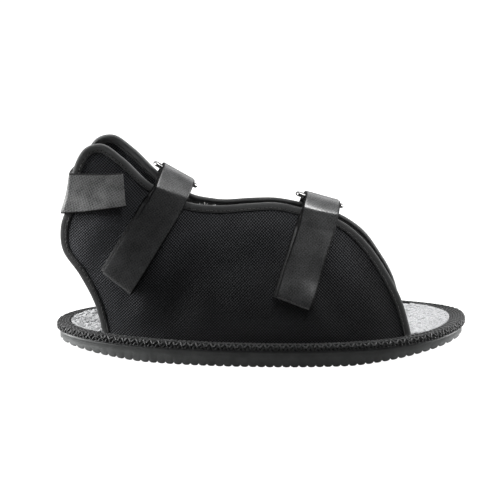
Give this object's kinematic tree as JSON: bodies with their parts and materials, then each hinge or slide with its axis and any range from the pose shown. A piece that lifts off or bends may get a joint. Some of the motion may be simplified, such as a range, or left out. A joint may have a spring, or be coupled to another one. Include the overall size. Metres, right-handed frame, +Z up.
{
  "type": "cast boot",
  "caption": "Open-heel, open-toe cast boot: woven fabric walls on a rippled sole, closed over the throat by turned-back straps and steel rings.",
  "frame": {"origin": "on the floor, in the middle of the flat foot of the sole's middle ripple", "axes": "+X from heel to toe, +Y to the side of the ring tabs, +Z up"},
  "size_m": [0.286, 0.113, 0.1475],
  "materials": {
    "sole_rubber": "matt black foam rubber with a fine skin",
    "trim_weave": "black woven tape with whipped edge stitching",
    "wall_cloth": "black nylon mesh cloth with a diagonal weave",
    "felt": "light grey nubby felt",
    "binding_tape": "black ribbed binding tape",
    "webbing": "black brushed webbing",
    "loop_webbing": "charcoal brushed loop webbing",
    "ring_steel": "nickel-plated steel wire"
  },
  "bodies": {
    "root": {"outsole": "sole_rubber", "edge_trim": "trim_weave", "upper": "wall_cloth", "footbed": "felt", "binding_near": "binding_tape", "binding_far": "binding_tape", "strap_ankle": "webbing", "ring_ankle": "ring_steel", "tab_ankle": "webbing", "strap_instep": "webbing", "ring_instep": "ring_steel", "tab_instep": "webbing", "strap_heel": "loop_webbing"}
  },
  "joints": []
}
